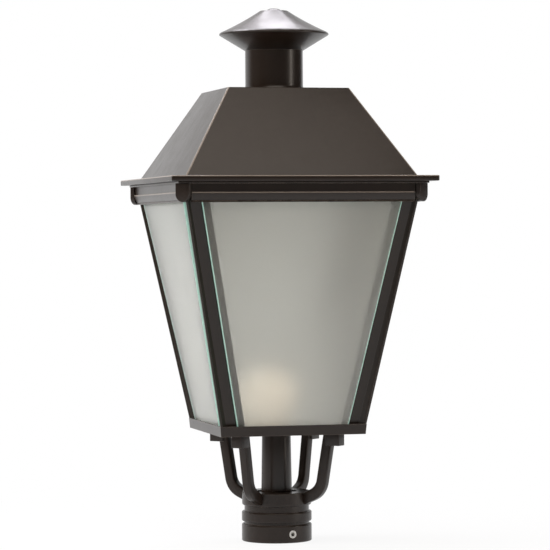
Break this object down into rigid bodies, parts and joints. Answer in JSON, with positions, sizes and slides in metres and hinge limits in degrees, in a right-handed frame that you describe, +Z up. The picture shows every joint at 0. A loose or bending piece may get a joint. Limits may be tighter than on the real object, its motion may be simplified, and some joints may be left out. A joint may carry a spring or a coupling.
{
  "type": "post top lantern",
  "caption": "Square tapering post top lantern with frosted panes, a pyramid roof, a round vent cap and curved arms on a post collar.",
  "frame": {"origin": "centre of the collar's open bottom edge, on the post's axis", "axes": "+Z up the post, -Y out of the front pane, +X to the right seen from the front"},
  "size_m": [0.4058, 0.4058, 0.8172],
  "materials": {
    "bronze_paint": "satin dark bronze powder coat on sheet metal",
    "cast_paint": "satin dark bronze powder coat on castings",
    "frosted_glass": "satin etched float glass",
    "steel": "bare stainless steel",
    "zinc_steel": "zinc plated steel",
    "seal_rubber": "matt rubber",
    "ceramic": "glazed ceramic",
    "lamp_brass": "nickel-bright thread",
    "opal_glass": "opal white glass",
    "terminal_plastic": "moulded plastic"
  },
  "bodies": {
    "lantern": {"post_collar": "cast_paint", "support_arm_rear_right": "cast_paint", "support_arm_rear_left": "cast_paint", "support_arm_front_left": "cast_paint", "support_arm_front_right": "cast_paint", "wire_tube": "bronze_paint", "floor_plate": "bronze_paint", "bottom_frame": "bronze_paint", "top_ring": "bronze_paint", "roof_flange": "bronze_paint", "roof_shell": "bronze_paint", "chimney_neck": "bronze_paint", "vent_cap": "bronze_paint", "cap_nut": "bronze_paint", "corner_bar_rear_right": "bronze_paint", "corner_bar_rear_left": "bronze_paint", "corner_bar_front_left": "bronze_paint", "corner_bar_front_right": "bronze_paint", "corner_block_rear_right": "cast_paint", "corner_block_rear_left": "cast_paint", "corner_block_front_left": "cast_paint", "corner_block_front_right": "cast_paint", "cornice_rail_rear": "bronze_paint", "cornice_rail_left": "bronze_paint", "cornice_rail_front": "bronze_paint", "cornice_rail_right": "bronze_paint", "glass_pane_rear": "frosted_glass", "glass_pane_left": "frosted_glass", "glass_pane_front": "frosted_glass", "glass_pane_right": "frosted_glass", "arm_screws": "zinc_steel", "roof_strap": "zinc_steel", "roof_rod": "zinc_steel", "roof_rod_nuts": "zinc_steel", "pane_clips": "zinc_steel", "pane_seat_strips": "seal_rubber", "lamp_holder": "ceramic", "lamp_base": "lamp_brass", "lamp_globe": "opal_glass", "terminal_block": "terminal_plastic"},
    "clamp_screw_1": {"clamp_screw_1": "steel"},
    "clamp_screw_2": {"clamp_screw_2": "steel"},
    "clamp_screw_3": {"clamp_screw_3": "steel"}
  },
  "joints": [
    {"name": "clamp_screw_1_drive", "type": "slide", "parent": "lantern", "child": "clamp_screw_1", "axis": [-0.2351, 0.972, 0], "range_m": [-0.004, 0.004]},
    {"name": "clamp_screw_2_drive", "type": "slide", "parent": "lantern", "child": "clamp_screw_2", "axis": [-0.7242, -0.6896, 0], "range_m": [-0.004, 0.004]},
    {"name": "clamp_screw_3_drive", "type": "slide", "parent": "lantern", "child": "clamp_screw_3", "axis": [0.9593, -0.2823, 0], "range_m": [-0.004, 0.004]}
  ]
}
